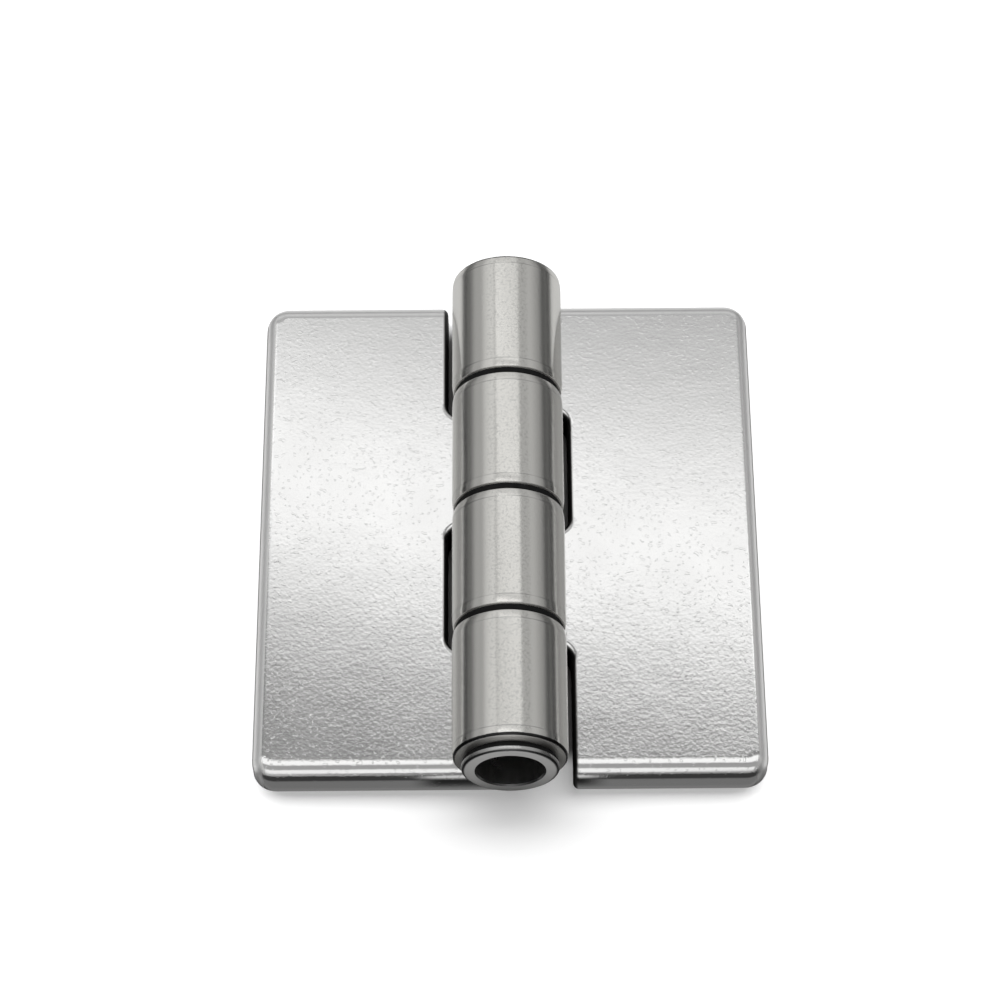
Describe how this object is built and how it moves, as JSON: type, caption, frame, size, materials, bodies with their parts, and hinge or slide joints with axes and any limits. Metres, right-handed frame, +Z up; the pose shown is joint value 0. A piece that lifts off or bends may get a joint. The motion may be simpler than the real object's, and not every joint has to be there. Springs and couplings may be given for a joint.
{
  "type": "weld-on hinge",
  "caption": "Weld-on hinge lying open and flat: thick plain leaves without holes, a raised round barrel of knuckles parted by thin washers, and a hollow pin with a collar.",
  "frame": {"origin": "middle of the barrel, on the pivot axis", "axes": "+Y along the pivot axis from the collar end to the far end, +X towards the right leaf, +Z up, away from the faces that are welded"},
  "size_m": [0.06, 0.0665, 0.0149],
  "materials": {
    "cast_steel": "blasted leaves with a polished barrel",
    "turned_steel": "turned, satin",
    "black_washer": "moulded, dull black"
  },
  "bodies": {
    "left side": {"left_leaf": "cast_steel", "hollow_pin": "turned_steel", "collar_washer": "black_washer", "near_washer": "black_washer", "middle_washer": "black_washer", "far_washer": "black_washer"},
    "right side": {"right_leaf": "cast_steel"}
  },
  "joints": [
    {"name": "pivot", "type": "hinge", "parent": "left side", "child": "right side", "pos_m": [0, 0, 0], "axis": [0, -1, 0], "range_deg": [-55, 190]}
  ]
}
